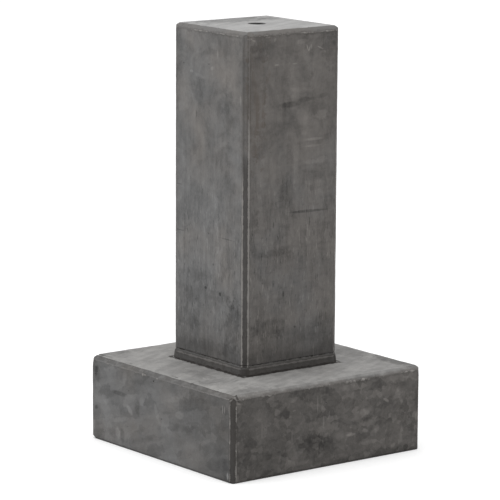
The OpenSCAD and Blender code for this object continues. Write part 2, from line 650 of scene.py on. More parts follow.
def scatter_pinholes(strikes, form, width, top, count):
    """Round air holes anywhere on the cast faces"""
    draw = strikes.draw
    half = width / 2
    hs = form.shaft_width / 2
    base = form.foot_height
    for _ in range(count):
        quarter = Matrix.Rotation(math.radians(90 * draw.randrange(4)), 3, "Z")
        radius = draw.uniform(0.45, 0.9) * MM * draw.choice((1, 1, 1, 1.5))
        kind = draw.random()
        if kind < 0.45:
            point = Vector((hs, draw.uniform(-hs, hs) * 0.88, draw.uniform(base + 0.03, top - 0.02)))
            outward = Vector((1, 0, 0))
        elif kind < 0.85:
            point = Vector((half, draw.uniform(-half, half) * 0.93, draw.uniform(0.012, base - 0.014)))
            outward = Vector((1, 0, 0))
        else:
            point = Vector((draw.uniform(hs + 0.012, half - 0.014), draw.uniform(-half, half) * 0.9, base))
            outward = Vector((0, 0, 1))
        strikes.ball(quarter @ point, quarter @ outward, radius, radius * 0.95)


def strike_casting(piece, form, wear):
    """Chips, nicks and pinholes, cut out of the casting"""
    low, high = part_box(NODE)
    width = high.x - low.x
    strikes = Strikes(random.Random(wear.seed))
    for at, outward, radius, depth, stretch in chip_places(form, width, high.z):
        strikes.ball(at, outward, radius * MM, depth * MM, stretch, rough=CHIP_ROUGHNESS, detail=3)
    scatter_nicks(strikes, form, width, high.z, wear.nicks)
    scatter_pinholes(strikes, form, width, high.z, wear.pinholes)
    strikes.cut_from(piece)


# ---------------------------------------------------------------- shader recipes


class Recipe:
    """Lays shader nodes into a tree and wires them"""

    def __init__(self, tree):
        self.tree = tree

    def put(self, kind, wires=None, **settings):
        """A node with its settings, and its inputs wired or set"""
        made = self.tree.nodes.new("ShaderNode" + kind)
        for key, value in settings.items():
            setattr(made, key, value)
        for socket, source in (wires or {}).items():
            self.feed(made.inputs[socket], source)
        return made

    def feed(self, socket, source):
        """Wires a socket to another, or sets its value"""
        if isinstance(source, bpy.types.NodeSocket):
            self.tree.links.new(source, socket)
        else:
            socket.default_value = source

    def sum(self, operation, first, second=0.0):
        """One arithmetic step"""
        return self.put("Math", {0: first, 1: second}, operation=operation).outputs[0]

    def plus(self, first, *others):
        """A sum"""
        for other in others:
            first = self.sum("ADD", first, other)
        return first

    def times(self, first, *others):
        """A product"""
        for other in others:
            first = self.sum("MULTIPLY", first, other)
        return first

    def about_half(self, value):
        """How far a value lies above a half"""
        return self.sum("SUBTRACT", value, 0.5)

    def blur(self, value, low, high, start=0.0, end=1.0):
        """A smooth step from start to end as a value goes from low to high"""
        wires = {"Value": value, "From Min": low, "From Max": high, "To Min": start, "To Max": end}
        return self.put("MapRange", wires, interpolation_type="SMOOTHSTEP").outputs[0]

    def noise(self, vector, scale, detail, roughness, distortion=0.0):
        """Soft noise about a half"""
        wires = {
            "Vector": vector, "Scale": scale, "Detail": detail,
            "Roughness": roughness, "Distortion": distortion,
        }
        return self.put("TexNoise", wires).outputs[0]

    def drawn_out(self, vector, source):
        """A vector in a space turned by a group's Tilt and drawn out by its Size"""
        wires = {"Vector": vector, "Rotation": source["Tilt"], "Scale": source["Size"]}
        return self.put("Mapping", wires, vector_type="TEXTURE").outputs[0]

    def vector(self, operation, first, wires, result=0):
        """One step with vectors"""
        return self.put("VectorMath", {0: first, **wires}, operation=operation).outputs[result]

    def mix(self, share, first, second, blend="MIX"):
        """Two colours mixed"""
        made = self.put("Mix", data_type="RGBA", blend_type=blend)
        self.feed(made.inputs["Factor"], share)
        self.feed(made.inputs["A"], first)
        self.feed(made.inputs["B"], second)
        return made.outputs["Result"]

    def use(self, group, wires=None):
        """A node group placed with its own values, by its outputs' names"""
        made = self.tree.nodes.new("ShaderNodeGroup")
        made.node_tree = group
        for socket, source in (wires or {}).items():
            self.feed(made.inputs[socket], source)
        return made.outputs


def new_group(name, inputs, outputs):
    """An empty shader node group with named sockets: (tree, recipe, its inputs, its result node)"""
    tree = bpy.data.node_groups.new(name, "ShaderNodeTree")
    for socket, default in inputs.items():
        kind = "NodeSocketVector" if isinstance(default, tuple) else "NodeSocketFloat"
        made = tree.interface.new_socket(name=socket, in_out="INPUT", socket_type=kind)
        made.default_value = default
    for socket in outputs:
        tree.interface.new_socket(name=socket, in_out="OUTPUT", socket_type="NodeSocketFloat")
    recipe = Recipe(tree)
    source = tree.nodes.new("NodeGroupInput").outputs
    result = tree.nodes.new("NodeGroupOutput").inputs
    return tree, recipe, source, result


def section_group():
    """Where a point lies on a square block: how far out, how far across, how high, which pair of sides"""
    outputs = ("Out", "Across", "Height", "Front")
    tree, r, source, result = new_group("Square Section", {"Vector": (0.0, 0.0, 0.0)}, outputs)
    parts = r.put("SeparateXYZ", {0: source["Vector"]}).outputs
    ax = r.sum("ABSOLUTE", parts["X"])
    ay = r.sum("ABSOLUTE", parts["Y"])
    r.feed(result["Out"], r.sum("MAXIMUM", ax, ay))
    r.feed(result["Across"], r.sum("MINIMUM", ax, ay))
    r.feed(result["Height"], parts["Z"])
    r.feed(result["Front"], r.blur(r.sum("SUBTRACT", ay, ax), -0.001, 0.001))
    return tree


def line_group():
    """Nearness to a line that shows as a point in the section, with a frayed edge"""
    inputs = {"First": 0.0, "Second": 0.0, "Line First": 0.0, "Line Second": 0.0, "Width": 0.002, "Fray": 0.5}
    tree, r, source, result = new_group("Arris Line", inputs, ("Mask",))
    a = r.sum("SUBTRACT", source["First"], source["Line First"])
    b = r.sum("SUBTRACT", source["Second"], source["Line Second"])
    away = r.sum("SQRT", r.plus(r.times(a, a), r.times(b, b)))
    # Fray, a noise about a half, widens and narrows the line.
    width = r.times(source["Width"], r.blur(source["Fray"], 0.25, 0.75, 0.1, 1.9))
    share = r.sum("DIVIDE", away, r.sum("MAXIMUM", width, 0.00005))
    r.feed(result["Mask"], r.blur(share, 0.35, 1.0, 1.0, 0.0))
    return tree


def drawn_group():
    """Marks drawn out in one direction: run marks, trowel strokes, or ticks where Low is high"""
    inputs = {
        "Vector": (0.0, 0.0, 0.0), "Tilt": (0.0, 0.0, 0.0), "Size": (0.01, 0.01, 0.1),
        "Detail": 3.0, "Low": 0.35, "High": 0.65,
    }
    tree, r, source, result = new_group("Drawn Marks", inputs, ("Mask",))
    value = r.noise(r.drawn_out(source["Vector"], source), 1.0, source["Detail"], 0.6)
    r.feed(result["Mask"], r.blur(value, source["Low"], source["High"]))
    return tree


def blotch_group():
    """Patches of a thin skin that has flaked or dried unevenly, with soft or crisp edges"""
    inputs = {"Vector": (0.0, 0.0, 0.0), "Size": 0.03, "Crispness": 0.5}
    tree, r, source, result = new_group("Blotches", inputs, ("Mask",))
    scale = r.sum("DIVIDE", 1.0, source["Size"])
    value = r.noise(source["Vector"], scale, 5.0, 0.6, 0.8)
    half = r.blur(source["Crispness"], 0.0, 1.0, 0.22, 0.03)
    r.feed(result["Mask"], r.blur(value, r.sum("SUBTRACT", 0.5, half), r.plus(0.5, half)))
    return tree


def dab_group():
    """Patches laid side by side, each of its own tone, where cement clung to the mould or was dabbed on"""
    inputs = {"Vector": (0.0, 0.0, 0.0), "Tilt": (0.0, 0.0, 0.0), "Size": (0.03, 0.03, 0.01), "Wander": 0.006}
    tree, r, source, result = new_group("Dabs", inputs, ("Tone",))
    wobble = r.put("TexNoise", {"Vector": source["Vector"], "Scale": 70.0, "Detail": 3.0}).outputs[1]
    centred = r.vector("SUBTRACT", wobble, {1: (0.5, 0.5, 0.5)})
    pushed = r.vector("SCALE", centred, {"Scale": source["Wander"]})
    place = r.drawn_out(r.vector("ADD", source["Vector"], {1: pushed}), source)
    cells = r.put("TexVoronoi", {"Vector": place, "Scale": 1.0, "Smoothness": 0.14}, feature="SMOOTH_F1")
    r.feed(result["Tone"], r.put("SeparateXYZ", {0: cells.outputs["Color"]}).outputs["X"])
    return tree


def smear_group():
    """One mark in its place: full at its centre and gone at its reach, with a frayed edge.
    Along, Rise and Outward are its three axes, each divided by how far the mark reaches along it."""
    inputs = {
        "Vector": (0.0, 0.0, 0.0), "Centre": (0.0, 0.0, 0.0), "Along": (100.0, 0.0, 0.0),
        "Rise": (0.0, 0.0, 100.0), "Outward": (0.0, 100.0, 0.0), "Fray": 0.5, "Ragged": 0.5,
    }
    tree, r, source, result = new_group("Smear", inputs, ("Mask",))
    moved = r.vector("SUBTRACT", source["Vector"], {1: source["Centre"]})
    shares = {
        axis: r.vector("DOT_PRODUCT", moved, {1: source[name]}, "Value")
        for axis, name in (("X", "Along"), ("Y", "Outward"), ("Z", "Rise"))
    }
    away = r.vector("LENGTH", r.put("CombineXYZ", shares).outputs[0], {}, "Value")
    push = r.times(r.about_half(source["Fray"]), r.times(source["Ragged"], 3.2))
    r.feed(result["Mask"], r.blur(r.plus(away, push), 0.45, 1.0, 1.0, 0.0))
    return tree


def dust_group():
    """Dust that has settled on what faces up, patchy"""
    inputs = {"Vector": (0.0, 0.0, 0.0), "Upward": 1.0, "Steepest": 0.35, "Fade": 0.35}
    tree, r, source, result = new_group("Settled Dust", inputs, ("Mask",))
    patch = r.noise(source["Vector"], 55.0, 4.0, 0.6)
    lifted = r.plus(source["Upward"], r.times(r.about_half(patch), 0.5))
    r.feed(result["Mask"], r.blur(lifted, source["Steepest"], r.plus(source["Steepest"], source["Fade"])))
    return tree


# ---------------------------------------------------------------- the concrete


# Marks on the sides that show, in millimetres and degrees: along, height, half length, half height,
# tilt, raggedness, tone. Along is X, or Y on a left side. Height is Z, or Y on a top. A tone below
# nothing darkens.
FRONT_MARKS = (
    # smears of the float, and lines between lifts of the pour
    (-8, 599, 27, 6.5, 1, 0.2, -0.26),
    (24, 605, 26, 5.5, 3, 0.25, -0.17),
    (62, 609, 16, 5, 8, 0.25, -0.18),
    (33, 416, 54, 3, -1.5, 0.2, -0.34),
    (-46, 351, 52, 8, 2, 0.35, -0.17),
    (-14, 352, 20, 14, 0, 0.3, -0.13),
    (30, 358, 60, 5, 1, 0.5, -0.08),
    # paler bands
    (45, 537, 23, 3.2, 0, 0.2, 0.32),
    (44, 526, 22, 2.6, 0, 0.2, 0.26),
    (40, 499, 25, 5, 0, 0.6, 0.14),
    (42, 482, 24, 3, -4, 0.5, -0.12),
    (48, 462, 26, 7, -6, 0.5, 0.12),
    (62, 446, 10, 9, 0, 0.6, 0.12),
    (6, 488, 10, 82, 0, 0.6, 0.13),
    (-4, 640, 12, 40, 0, 0.35, 0.12),
    (16, 703, 17, 5, 3, 0.3, 0.24),
    (-62, 640, 6, 62, 0, 0.5, -0.1),
    (-20, 585, 5, 40, 0, 0.5, -0.09),
    (12, 646, 36, 52, 0, 0.7, 0.12),
    (22, 570, 15, 30, 0, 0.3, 0.12),
    (60, 578, 20, 11, 0, 0.6, 0.26),
    (60, 500, 15, 8, 0, 0.6, 0.2),
    # darker patches
    (78, 684, 24, 34, 0, 0.6, -0.2),
    (-72, 692, 26, 22, 0, 0.5, -0.14),
    (-82, 440, 12, 86, 0, 0.6, -0.15),
    (-14, 442, 22, 56, 0, 0.7, -0.1),
    (-2, 342, 18, 12, 0, 0.5, -0.16),
    (-50, 224, 48, 22, 0, 0.6, -0.22),
    (62, 225, 34, 12, 0, 0.6, -0.1),
    (28, 184, 34, 13, 0, 0.6, 0.26),
    # scratches and knocks; the four pale marks at the near top corner are painted highlights on its chips
    (-92, 713, 5, 2, 0, 0.4, 0.55),
    (-84, 710, 5, 1.6, -10, 0.4, 0.45),
    (-56, 714, 6, 1.8, 0, 0.4, 0.36),
    (-40, 709, 5, 2.6, 60, 0.4, 0.3),
    (-84, 698, 12, 9, 0, 0.4, -0.22),
    (29, 691, 1.6, 8, 20, 0.12, 0.6),
    (33, 690, 1.5, 7, -18, 0.12, 0.55),
    (37, 693, 1.5, 6, 15, 0.12, 0.42),
    (56, 690, 9, 1.8, -24, 0.15, 0.46),
    (66, 683, 3.5, 1.7, -40, 0.2, 0.26),
    (-36, 667, 6, 1.8, 0, 0.3, 0.38),
    (2, 667, 7, 1.8, 0, 0.3, 0.36),
    (-41, 399, 1.3, 6, 0, 0.3, -0.36),
    (36, 398, 1.3, 10, 0, 0.3, -0.38),
    (46, 378, 1.3, 9, 0, 0.3, -0.3),
    (-19, 281, 1.6, 7, 0, 0.4, -0.36),
    (6, 221, 3, 2.4, 0, 0.2, -0.34),
)
LEFT_MARKS = (
    # where the skin dried smooth or runny
    (-5, 503, 50, 40, 8, 0.5, -0.08),
    (62, 492, 30, 46, 0, 0.5, 0.06),
    (-12, 423, 15, 52, 0, 0.7, 0.13),
    (-28, 328, 11, 42, 0, 0.7, 0.1),
    (67, 338, 3.5, 66, 0, 0.5, -0.15),
    (75, 325, 6, 88, 0, 0.5, 0.08),
    (-62, 330, 24, 95, 0, 0.5, -0.08),
    (60, 640, 40, 60, 0, 0.8, 0.07),
    (-18, 694, 14, 8, 0, 0.6, 0.16),
    (24, 641, 20, 4, 10, 0.6, 0.12),
    (60, 222, 50, 22, 0, 0.5, -0.18),
    (-24, 184, 80, 14, 0, 0.5, -0.17),
    (40, 300, 60, 14, -5, 0.7, -0.1),
    (-70, 230, 26, 52, 0, 0.6, -0.22),
    (88, 650, 18, 86, 0, 0.5, -0.18),
    (-16, 612, 74, 34, 4, 0.7, -0.1),
    (-52, 570, 15, 96, 0, 0.7, -0.1),
    (-56, 460, 20, 44, 0, 0.7, -0.11),
    (-38, 345, 22, 26, 0, 0.7, 0.13),
    (6, 266, 92, 26, 0, 0.6, -0.12),
    (26, 625, 28, 17, 0, 0.4, -0.06),
    (-24, 682, 3, 9, 0, 0.3, 0.26),
    (-9, 657, 6, 4, -20, 0.4, 0.24),
    (49, 647, 6, 3, 0, 0.4, 0.26),
    (-87, 612, 2.5, 11, 0, 0.3, 0.26),
    (34, 576, 3, 9, 0, 0.4, -0.24),
    (-4, 598, 8, 14, 0, 0.5, -0.09),
    # hair lines and pits
    (80, 372, 14, 1.4, 0, 0.2, -0.3),
    (-50, 374, 27, 1.4, 1, 0.2, -0.26),
    (82, 451, 12, 1.4, 0, 0.2, -0.24),
    (7, 283, 4, 3, 0, 0.2, -0.45),
    (-33, 278, 3.6, 4.4, 0, 0.2, -0.6),
    (-14, 326, 3, 2.6, 0, 0.2, -0.36),
)
FOOT_LEFT_MARKS = (
    # trowelled patches
    (155, 50, 22, 32, -15, 0.6, 0.19),
    (-175, 70, 26, 70, 0, 0.5, -0.12),
    (-20, 60, 30, 9, -16, 0.7, 0.14),
    (-40, 112, 34, 6, -14, 0.7, 0.16),
    (-130, 56, 18, 7, -16, 0.6, 0.16),
    (20, 34, 40, 8, -16, 0.7, -0.13),
    (-84, 70, 26, 7, -16, 0.6, -0.13),
    (120, 24, 9, 13, -12, 0.3, 0.34),
    (112, 49, 30, 6, -16, 0.35, 0.24),
    (84, 70, 13, 7, 38, 0.35, 0.34),
    (168, 74, 26, 10, 0, 0.6, 0.12),
    (50, 92, 9, 8, -20, 0.6, 0.17),
    (6, 78, 6, 20, -25, 0.5, 0.2),
    (-58, 89, 14, 9, -12, 0.6, 0.28),
    (100, 125, 8, 12, 0, 0.6, 0.16),
    (180, 116, 12, 22, 0, 0.3, -0.22),
    (115, 94, 32, 5, 0, 0.35, -0.26),
    (62, 80, 9, 22, 0, 0.4, -0.18),
    (106, 22, 8, 18, 0, 0.3, -0.24),
    (184, 57, 6, 5, 0, 0.4, -0.32),
    (-95, 105, 70, 34, 0, 0.4, -0.05),
    (30, 130, 190, 15, 0, 0.4, -0.14),
    (-96, 30, 32, 28, 0, 0.7, 0.16),
    (150, 12, 20, 12, 0, 0.6, 0.28),
    (192, 120, 14, 40, 0, 0.5, -0.2),
    (-186, 24, 14, 30, 0, 0.5, -0.12),
    (-176, 121, 1.7, 9, 0, 0.2, 0.75),
    (-181, 121, 1.5, 8, 0, 0.2, 0.7),
    (-190, 12, 3, 7, 0, 0.3, 0.95),
    (-194, 122, 2.5, 14, 0, 0.4, 0.7),
    (-195, 62, 2, 30, 0, 0.6, 0.34),
)
FOOT_FRONT_MARKS = (
    # dabs of paler cement
    (47, 48, 14, 3.4, 0, 0.3, 0.5),
    (22, 50, 15, 9, 0, 0.5, 0.24),
    (78, 51, 9, 4.5, -20, 0.4, 0.4),
    (103, 51, 8, 9, 0, 0.5, 0.34),
    (124, 97, 9, 3, -30, 0.3, 0.6),
    (110, 107, 9, 6, -40, 0.5, 0.34),
    (156, 103, 18, 15, 0, 0.4, 0.28),
    (82, 29, 24, 5, 0, 0.6, 0.24),
    (-55, 15, 18, 5, 0, 0.5, 0.2),
    (20, 14, 36, 6, 0, 0.6, 0.16),
    (-40, 78, 20, 5, 6, 0.6, 0.18),
    (192, 60, 5, 10, 0, 0.4, 0.4),
    (-78, 30, 16, 32, 0, 0.6, 0.34),
    (76, 82, 12, 10, 0, 0.6, 0.36),
    (-146, 106, 16, 12, 0, 0.6, 0.2),
    (40, 130, 16, 8, 0, 0.6, 0.24),
    # scratches and dark patches
    (-25, 110, 1.8, 20, 0, 0.2, 0.36),
    (-12, 78, 2.4, 14, 0, 0.3, 0.44),
    (-79, 62, 1.6, 9, 0, 0.2, 0.4),
    (0, 90, 1.6, 8, 0, 0.2, 0.32),
    (-142, 78, 1.6, 12, 0, 0.2, 0.28),
    (-30, 46, 42, 17, 0, 0.4, -0.24),
    (-105, 34, 44, 16, 0, 0.5, -0.16),
    (62, 68, 40, 6, 3, 0.6, -0.16),
    (128, 30, 9, 20, 0, 0.6, -0.16),
    (0, 36, 16, 26, 0, 0.5, -0.22),
    (0, 130, 14, 10, 0, 0.5, -0.22),
    (110, 8, 90, 11, 0, 0.4, -0.18),
    (-192, 10, 3, 9, 0, 0.3, 0.6),
    (-191, 134, 6, 3, -15, 0.4, 0.5),
)
FOOT_TOP_MARKS = (
    (190, -150, 30, 70, 0, 0.5, -0.36),
    # Painted shade: this row darkens the foot's top beside the shaft, where the shaft's shadow falls
    (166, -46, 34, 50, 0, 0.8, -0.13),
    (-178, -104, 20, 30, 0, 0.8, -0.1),
    (-150, -30, 22, 60, 0, 0.8, -0.12),
    (-160, -185, 70, 20, 0, 0.7, -0.18),
    (-170, 186, 50, 24, 0, 0.7, -0.26),
    (-150, -110, 34, 60, 20, 0.8, -0.12),
)
TOP_MARKS = (
    (0, 66, 110, 42, 0, 0.8, -0.26),
    (60, 40, 20, 60, 30, 0.8, -0.12),
)
X_WAY, Y_WAY, Z_WAY = Matrix.Identity(3)
# Each side's own axes: along it, up it and out of it
FRONT = (X_WAY, Z_WAY, -Y_WAY)
LEFT = (Y_WAY, Z_WAY, -X_WAY)
LEVEL = (X_WAY, Y_WAY, Z_WAY)


def smear_at(r, m, centre, reach, ragged, axes=FRONT, tilt=0.0):
    """The mask of one smear, by its reach along a side's axes and its tilt in degrees"""
    along, rise, outward = axes
    lean = math.radians(tilt)
    wires = {
        "Vector": m.place, "Centre": tuple(centre), "Fray": m.fray, "Ragged": ragged,
        "Along": tuple((along * math.cos(lean) + rise * math.sin(lean)) / reach[0]),
        "Rise": tuple((rise * math.cos(lean) - along * math.sin(lean)) / reach[1]),
        "Outward": tuple(outward / reach[2]),
    }
    return r.use(m.smear, wires)["Mask"]


def marks_tone(r, m):
    """The tone that all the listed marks add"""
    total = 0.0
    for marks, axes, out in (
        (FRONT_MARKS, FRONT, m.hs),
        (LEFT_MARKS, LEFT, m.hs),
        (FOOT_LEFT_MARKS, LEFT, m.half),
        (FOOT_FRONT_MARKS, FRONT, m.half),
        (FOOT_TOP_MARKS, LEVEL, m.base),
        (TOP_MARKS, LEVEL, m.top),
    ):
        run, rise, outward = axes
        for along, height, half_long, half_high, tilt, ragged, tone in marks:
            centre = run * along * MM + rise * height * MM + outward * out
            reach = (half_long * MM, half_high * MM, MARK_DEPTH)
            mask = smear_at(r, m, centre, reach, ragged, axes, tilt)
            total = r.plus(total, r.times(mask, tone * MARK_STRENGTH))
    return total


def casting_masks(r, form, width, top):
    """Which part of the casting a point is on, which way it faces, and the shared noises"""
    m = SimpleNamespace(base=form.foot_height, half=width / 2, hs=form.shaft_width / 2, top=top)
    m.ledge = m.base + form.collar_face + form.collar_ledge
    m.smear, m.line = smear_group(), line_group()
    m.place = r.put("TexCoord").outputs["Object"]
    m.facing = r.put("SeparateXYZ", {0: r.put("NewGeometry").outputs["Normal"]}).outputs
    where = r.use(section_group(), {"Vector": m.place})
    m.out, m.across, m.height, m.front = [where[name] for name in ("Out", "Across", "Height", "Front")]

    m.on_shaft = r.blur(m.height, m.base + 13 * MM, m.ledge + 1 * MM)
    m.on_foot = r.blur(m.height, m.base, m.base + 1 * MM, 1.0, 0.0)
    m.on_collar = r.times(
        r.blur(m.height, m.base + 0.5 * MM, m.base + 1.5 * MM),
        r.blur(m.height, m.ledge - 1.5 * MM, m.ledge + 0.5 * MM, 1.0, 0.0),
    )
    x, y, z = [r.sum("ABSOLUTE", m.facing[axis]) for axis in "XYZ"]
    m.side_y = r.blur(y, 0.6, 0.95)
    m.corner = r.blur(r.sum("MINIMUM", x, y), 0.22, 0.5)
    m.upright = r.blur(z, 0.3, 0.75, 1.0, 0.0)
    m.foot_x = r.times(m.on_foot, r.blur(x, 0.6, 0.95))
    m.foot_y = r.times(m.on_foot, m.side_y)
    m.shaft_sides = r.times(m.on_shaft, m.upright)
    m.foot_sides = r.times(m.on_foot, m.upright)

    m.middle = r.noise(m.place, 42.0, 4.0, 0.6)
    m.fray = r.noise(m.place, 95.0, 4.0, 0.7)
    m.grain = r.noise(m.place, 620.0, 3.0, 0.7)
    return m


def cement_tone(r, m):
    """One number about 1 that darkens or lightens the cement, layer by layer"""
    drawn, blotch, dab = drawn_group(), blotch_group(), dab_group()

    def drawn_marks(size, tilt=(0, 0, 0), detail=3.0, low=0.35, high=0.65):
        wires = {"Vector": m.place, "Size": size, "Tilt": tilt, "Detail": detail, "Low": low, "High": high}
        return r.use(drawn, wires)["Mask"]

    def blotches(size, crispness):
        return r.use(blotch, {"Vector": m.place, "Size": size, "Crispness": crispness})["Mask"]

    def laid_dabs(size, wander, tilt=0):
        wires = {"Vector": m.place, "Size": size, "Wander": wander, "Tilt": (math.radians(tilt), 0, 0)}
        return r.use(dab, wires)["Tone"]

    m.runs = drawn_marks((0.009, 0.009, 0.10), detail=5.0)
    m.thin_runs = drawn_marks((0.0022, 0.0022, 0.022))
    light_ticks = drawn_marks((0.0026, 0.0026, 0.016), (0.03, 0.02, 0), 2.0, 0.60, 0.68)
    m.dark_ticks = drawn_marks((0.0024, 0.0024, 0.014), (0, 0.03, 0.5), 2.0, 0.61, 0.69)
    strokes = drawn_marks((0.03, 0.055, 0.012), (math.radians(-15), 0, 0), 4.0)
    float_marks = drawn_marks((0.05, 0.05, 0.008), (0, math.radians(-4), 0), 4.0)
    m.sweeps = drawn_marks((0.09, 0.016, 0.02), (0, 0, math.radians(24)), 4.0)
    mottle = drawn_marks((0.0065, 0.0065, 0.021), detail=4.0, low=0.38, high=0.62)
    skin = blotches(0.055, 0.3)
    m.flakes = blotches(0.019, 0.6)
    soft_flakes = blotches(0.028, 0.15)
    speckle = blotches(0.006, 0.5)
    m.dabs = laid_dabs((0.034, 0.034, 0.019), 0.022)
    small_dabs = laid_dabs((0.012, 0.012, 0.009), 0.008)
    m.tilted_dabs = laid_dabs((0.038, 0.038, 0.02), 0.024, -15)

    streaky = r.times(m.shaft_sides, r.blur(m.height, 0.40, 0.60, 1.0, 0.4))
    cloudy = r.times(m.shaft_sides, r.blur(m.height, 0.40, 0.60, 0.6, 1.3))
    lower = r.times(m.shaft_sides, r.blur(m.height, 0.38, 0.52, 1.0, 0.25))
    level = r.blur(m.facing["Z"], 0.8, 0.98)
    tone = 1.0
    for mask, strength, share in (
        (skin, 0.17, m.upright),
        (m.flakes, 0.12, m.upright),
        (speckle, 0.07, m.upright),
        (m.grain, 0.24, 1.0),
        (m.runs, 0.15, streaky),
        (m.thin_runs, 0.05, streaky),
        (mottle, 0.14, streaky),
        (skin, 0.14, cloudy),
        (soft_flakes, 0.13, cloudy),
        (float_marks, 0.15, r.times(m.on_shaft, m.side_y, r.blur(m.middle, 0.4, 0.6))),
        (strokes, 0.17, m.foot_x),
        (m.tilted_dabs, 0.30, m.foot_x),
        (m.dabs, 0.40, m.foot_y),
        (small_dabs, 0.26, m.foot_y),
        (speckle, 0.10, m.foot_y),
        (m.sweeps, 0.10, level),
    ):
        tone = r.plus(tone, r.times(r.about_half(mask), strength, share))
    for mask, strength, share in (
        (light_ticks, 0.38, lower),
        (m.dark_ticks, -0.34, lower),
        (light_ticks, 0.30, r.times(m.foot_y, r.blur(m.middle, 0.5, 0.6))),
        (r.blur(small_dabs, 0.68, 0.76), 0.24, r.times(m.foot_y, r.blur(m.middle, 0.46, 0.58))),
    ):
        tone = r.plus(tone, r.times(mask, strength, share))
    m.marks = marks_tone(r, m)
    tone = r.plus(tone, m.marks)

    # the foot is darker than the shaft, and darkest at its near corner
    m.near_shade = smear_at(r, m, (-m.half, -m.half, 0.06), (0.26, 0.22, 0.17), 0.3)
    foot_shade = r.plus(r.times(m.foot_y, -0.17), r.times(m.foot_sides, -0.05))
    tone = r.times(tone, r.plus(1.0, foot_shade))
    tone = r.times(tone, r.plus(1.0, r.times(m.near_shade, m.foot_sides, -0.2)))
    return r.sum("MAXIMUM", tone, 0.25)


def cement_colour(r, m, finish, tone):
    """Cement from cool to warm, and the brown stain down the front near the arris"""
    warmer = r.plus(
        r.times(m.side_y, 0.18), r.times(m.foot_y, 0.2),
        r.plus(r.times(m.near_shade, 0.07), r.blur(m.height, 0.42, 0.6, 0.0, 0.1)),
    )
    broad = r.noise(m.place, 9.0, 4.0, 0.55)
    colour = r.mix(r.blur(r.plus(broad, warmer), 0.4, 0.8), (*finish.concrete, 1), (*finish.warm, 1))
    colour = r.mix(1.0, colour, tone, "MULTIPLY")
    stain = smear_at(r, m, (-m.hs + 22 * MM, -m.hs, 0.62), (0.028, 0.13, 0.012), 0.9)
    return r.mix(r.times(stain, r.blur(m.runs, 0.1, 0.9, 0.15, 0.6)), colour, (*finish.rust, 1))


def settled_dust(r, m, finish, colour):
    """Dust on what faces up: thick on the top of the shaft, thin on the ledge"""
    m.left_edge = r.blur(r.times(m.facing["X"], -1.0), 0.25, 0.6)
    bare_edge = r.sum("MAXIMUM", r.blur(m.height, m.top - 0.05, m.top - 0.02), m.left_edge)
    wires = {
        "Vector": m.place, "Upward": m.facing["Z"],
        "Steepest": r.blur(bare_edge, 0.0, 1.0, 0.55, 0.82),
        "Fade": r.blur(bare_edge, 0.0, 1.0, 0.35, 0.12),
    }
    dusty = r.use(dust_group(), wires)["Mask"]
    dusty = r.times(dusty, r.blur(m.on_collar, 0.0, 1.0, 0.9, 0.3))
    shade = r.mix(r.blur(m.middle, 0.3, 0.7, 0.0, 0.4), (*finish.dust, 1), (*finish.concrete, 1))
    shade = r.mix(r.blur(m.height, m.top - 0.05, m.top, 0.0, 0.85), shade, (*finish.top_dust, 1))
    tone = r.plus(1.0, m.marks)
    for mask, strength in ((m.sweeps, 0.18), (m.flakes, 0.12), (m.grain, 0.3)):
        tone = r.plus(tone, r.times(r.about_half(mask), strength))
    shade = r.mix(1.0, shade, tone, "MULTIPLY")
    return r.mix(dusty, colour, shade)


